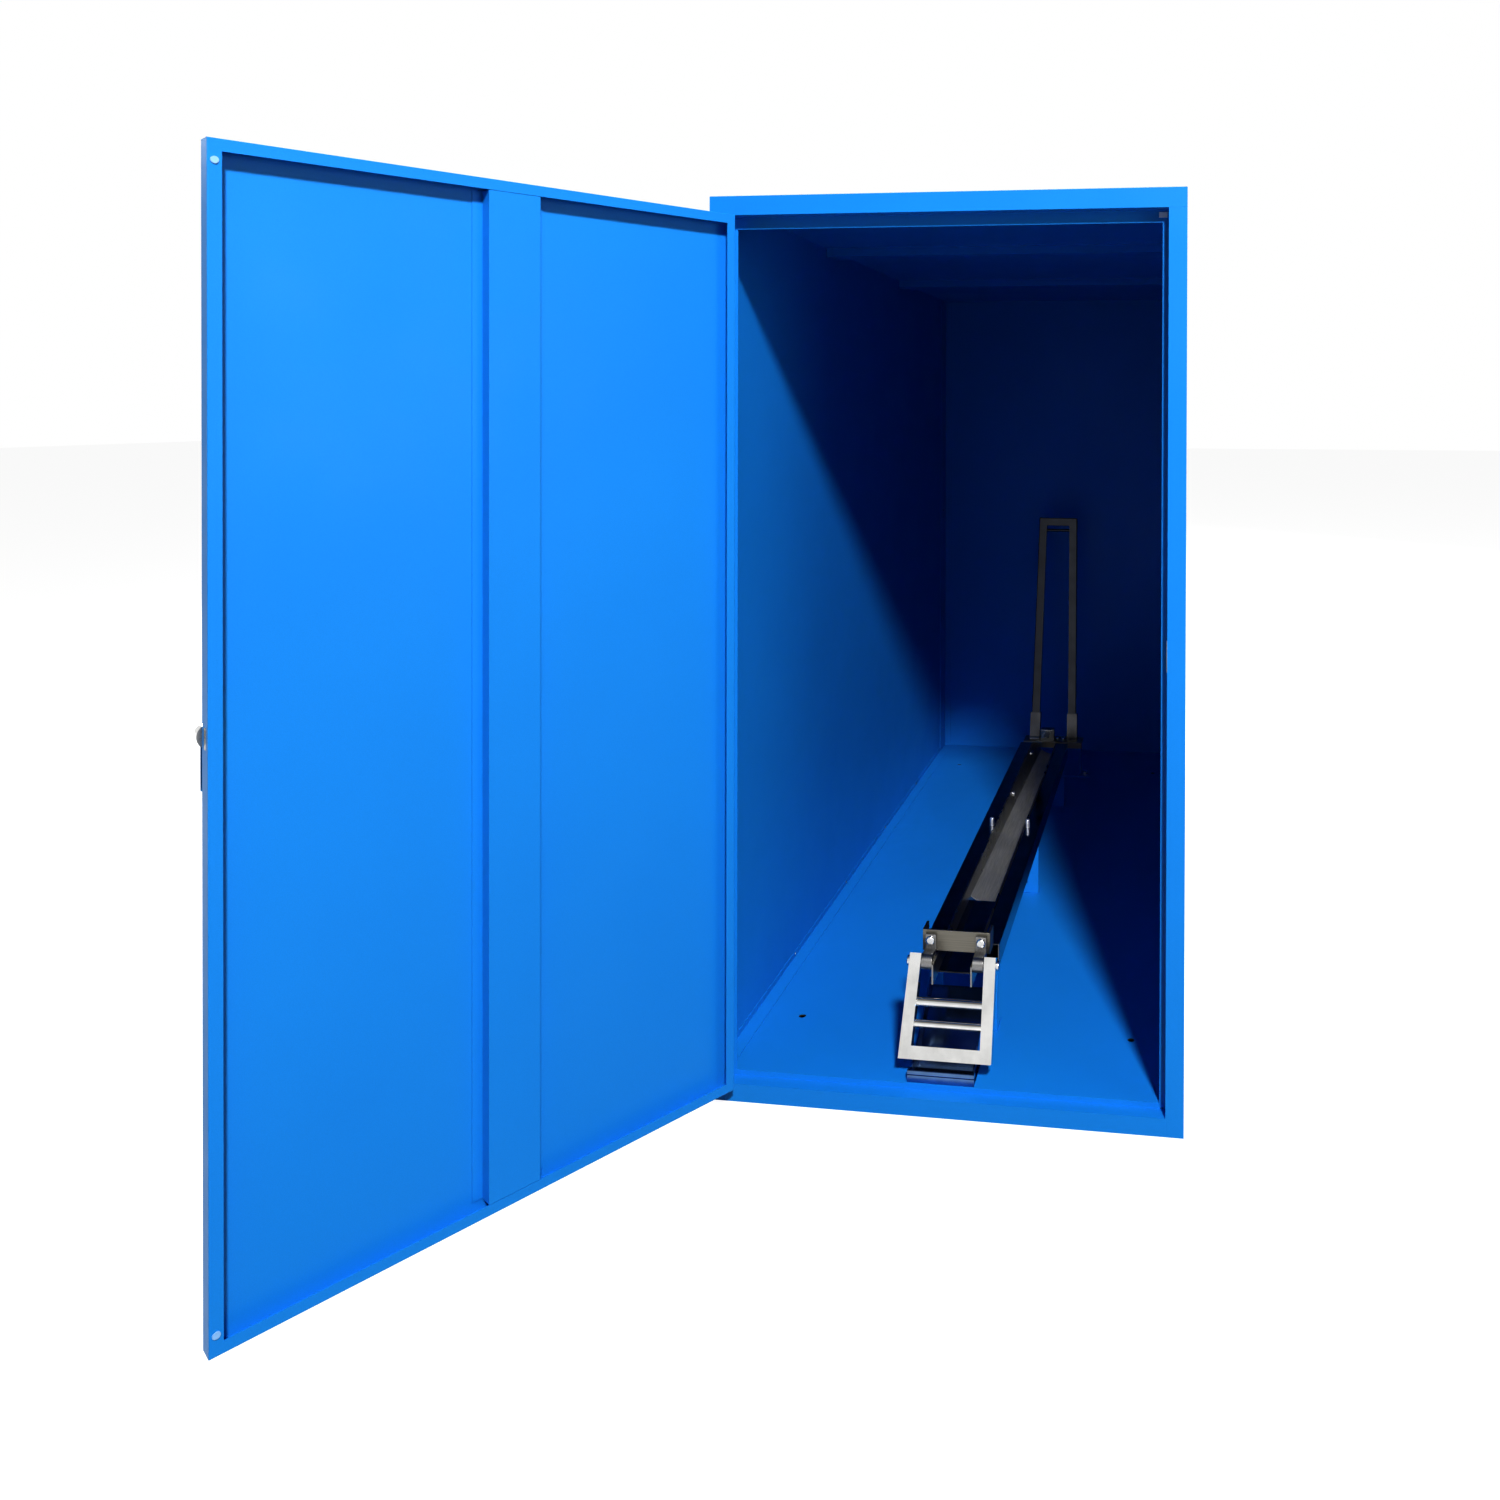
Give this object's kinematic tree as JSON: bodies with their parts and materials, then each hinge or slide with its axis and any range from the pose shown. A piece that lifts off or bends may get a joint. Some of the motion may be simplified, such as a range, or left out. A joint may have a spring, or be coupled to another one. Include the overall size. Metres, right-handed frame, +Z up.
{
  "type": "bicycle locker",
  "caption": "Sheet-steel storage locker with a side-hinged door, a turning lock, and a sliding wheel rail with a fold-down pull handle and a tall wheel hoop for parking a bicycle.",
  "frame": {"origin": "middle of the cabinet's base rectangle, on the ground", "axes": "+X to the right seen from the door side, +Y into the cabinet towards its back, +Z up"},
  "size_m": [1.1756, 2.5301, 1.5],
  "materials": {
    "left_side_panel": "bright blue powder coat",
    "right_side_panel": "bright blue powder coat",
    "back_panel": "bright blue powder coat",
    "roof_cap": "bright blue powder coat",
    "left_jamb": "bright blue powder coat",
    "right_jamb": "bright blue powder coat",
    "header_rail": "bright blue powder coat",
    "sill": "bright blue powder coat",
    "floor_pan": "bright blue powder coat",
    "floor_runners": "dark coated steel",
    "floor_angles": "bright blue powder coat",
    "rear_angles": "bright blue powder coat",
    "roof_bows": "bright blue powder coat",
    "panel_rivets": "zinc-plated steel",
    "header_buffer": "white nylon",
    "strike_plate": "brushed stainless steel",
    "hinge_frame_leaves": "bright blue powder coat",
    "hinge_pins": "brushed stainless steel",
    "left_guide_rail": "polished stainless steel",
    "right_guide_rail": "polished stainless steel",
    "front_trestle": "bright blue powder coat",
    "middle_trestle": "bright blue powder coat",
    "rear_trestle": "bright blue powder coat",
    "rail_foot": "brushed stainless steel",
    "front_brace": "brushed stainless steel",
    "guide_studs": "polished stainless steel",
    "floor_bolts": "zinc-plated steel",
    "hoop_stand": "bright blue powder coat",
    "hoop_cross_rod": "dark polished steel",
    "plate_bolts": "zinc-plated steel",
    "door_panel": "bright blue powder coat",
    "door_stiffener": "bright blue powder coat",
    "door_buffers": "milky plastic",
    "hinge_door_leaves": "bright blue powder coat",
    "lock_case": "zinc-plated steel",
    "lock_escutcheon": "brushed stainless steel",
    "lock_handle": "polished stainless steel",
    "lock_plug": "plain brass",
    "lock_bolt": "brushed stainless steel",
    "left_slide_bar": "brushed stainless steel",
    "right_slide_bar": "brushed stainless steel",
    "wheel_tray": "brushed stainless steel",
    "carriage_ties": "brushed stainless steel",
    "channel_floor": "polished stainless steel",
    "cross_plate": "brushed stainless steel",
    "left_handle_bracket": "brushed stainless steel",
    "right_handle_bracket": "brushed stainless steel",
    "pivot_bolts": "zinc-plated steel",
    "axle_pins": "zinc-plated steel",
    "hoop_plate": "brushed stainless steel",
    "wheel_hoop": "dark polished steel",
    "hoop_sockets": "brushed stainless steel",
    "wheel_stop": "brushed stainless steel",
    "hoop_bolts": "zinc-plated steel",
    "handle_frame": "polished stainless steel",
    "handle_rungs": "polished stainless steel",
    "front_left_roller": "white nylon",
    "front_right_roller": "white nylon",
    "rear_left_roller": "white nylon",
    "rear_right_roller": "white nylon"
  },
  "bodies": {
    "cabinet": {"left_side_panel": "left_side_panel", "right_side_panel": "right_side_panel", "back_panel": "back_panel", "roof_cap": "roof_cap", "left_jamb": "left_jamb", "right_jamb": "right_jamb", "header_rail": "header_rail", "sill": "sill", "floor_pan": "floor_pan", "floor_runners": "floor_runners", "floor_angles": "floor_angles", "rear_angles": "rear_angles", "roof_bows": "roof_bows", "panel_rivets": "panel_rivets", "header_buffer": "header_buffer", "strike_plate": "strike_plate", "hinge_frame_leaves": "hinge_frame_leaves", "hinge_pins": "hinge_pins", "left_guide_rail": "left_guide_rail", "right_guide_rail": "right_guide_rail", "front_trestle": "front_trestle", "middle_trestle": "middle_trestle", "rear_trestle": "rear_trestle", "rail_foot": "rail_foot", "front_brace": "front_brace", "guide_studs": "guide_studs", "floor_bolts": "floor_bolts", "hoop_stand": "hoop_stand", "hoop_plate": "hoop_plate", "wheel_hoop": "wheel_hoop", "hoop_cross_rod": "hoop_cross_rod", "hoop_sockets": "hoop_sockets", "wheel_stop": "wheel_stop", "hoop_bolts": "hoop_bolts"},
    "door": {"door_panel": "door_panel", "door_stiffener": "door_stiffener", "door_buffers": "door_buffers", "hinge_door_leaves": "hinge_door_leaves", "lock_case": "lock_case", "lock_escutcheon": "lock_escutcheon"},
    "lock_handle": {"lock_handle": "lock_handle"},
    "lock_plug": {"lock_plug": "lock_plug"},
    "lock_bolt": {"lock_bolt": "lock_bolt"},
    "carriage": {"left_slide_bar": "left_slide_bar", "right_slide_bar": "right_slide_bar", "wheel_tray": "wheel_tray", "carriage_ties": "carriage_ties", "channel_floor": "channel_floor", "cross_plate": "cross_plate", "left_handle_bracket": "left_handle_bracket", "right_handle_bracket": "right_handle_bracket", "plate_bolts": "plate_bolts", "pivot_bolts": "pivot_bolts", "axle_pins": "axle_pins"},
    "pull_handle": {"handle_frame": "handle_frame", "handle_rungs": "handle_rungs"},
    "front_left_roller": {"front_left_roller": "front_left_roller"},
    "front_right_roller": {"front_right_roller": "front_right_roller"},
    "rear_left_roller": {"rear_left_roller": "rear_left_roller"},
    "rear_right_roller": {"rear_right_roller": "rear_right_roller"}
  },
  "joints": [
    {"name": "door_hinge", "type": "hinge", "parent": "cabinet", "child": "door", "pos_m": [-0.3615, -0.9602, 0.75], "axis": [0, 0, 1], "range_deg": [-56, 124]},
    {"name": "lock_turn", "type": "hinge", "parent": "door", "child": "lock_handle", "pos_m": [-0.75672, -1.55365, 0.76], "axis": [0.829, -0.5592, 0], "range_deg": [0, 90]},
    {"name": "key_turn", "type": "hinge", "parent": "lock_handle", "child": "lock_plug", "pos_m": [-0.75672, -1.55365, 0.76], "axis": [0.829, -0.5592, 0], "range_deg": [0, 90]},
    {"name": "bolt_slide", "type": "slide", "parent": "door", "child": "lock_bolt", "axis": [-0.5592, -0.829, 0], "range_m": [0, 0.01]},
    {"name": "rail_slide", "type": "slide", "parent": "cabinet", "child": "carriage", "axis": [0, 1, 0], "range_m": [-0.8, 0]},
    {"name": "handle_fold", "type": "hinge", "parent": "carriage", "child": "pull_handle", "pos_m": [0, -0.848, 0.2015], "axis": [1, 0, 0], "range_deg": [-100, 0]},
    {"name": "front_left_roller_spin", "type": "hinge", "parent": "carriage", "child": "front_left_roller", "pos_m": [0, 0.084, 0.18], "axis": [1, 0, 0], "range_deg": [0, 2670]},
    {"name": "front_right_roller_spin", "type": "hinge", "parent": "carriage", "child": "front_right_roller", "pos_m": [0, 0.084, 0.18], "axis": [1, 0, 0], "range_deg": [0, 2670]},
    {"name": "rear_left_roller_spin", "type": "hinge", "parent": "carriage", "child": "rear_left_roller", "pos_m": [0, 0.424, 0.18], "axis": [1, 0, 0], "range_deg": [0, 2670]},
    {"name": "rear_right_roller_spin", "type": "hinge", "parent": "carriage", "child": "rear_right_roller", "pos_m": [0, 0.424, 0.18], "axis": [1, 0, 0], "range_deg": [0, 2670]}
  ],
  "couplings": [
    {"joint": "bolt_slide", "follows": "lock_turn", "m_per_rad": 0.0063662},
    {"joint": "front_left_roller_spin", "follows": "rail_slide", "rad_per_m": -58.139},
    {"joint": "front_right_roller_spin", "follows": "rail_slide", "rad_per_m": -58.139},
    {"joint": "rear_left_roller_spin", "follows": "rail_slide", "rad_per_m": -58.139},
    {"joint": "rear_right_roller_spin", "follows": "rail_slide", "rad_per_m": -58.139}
  ]
}
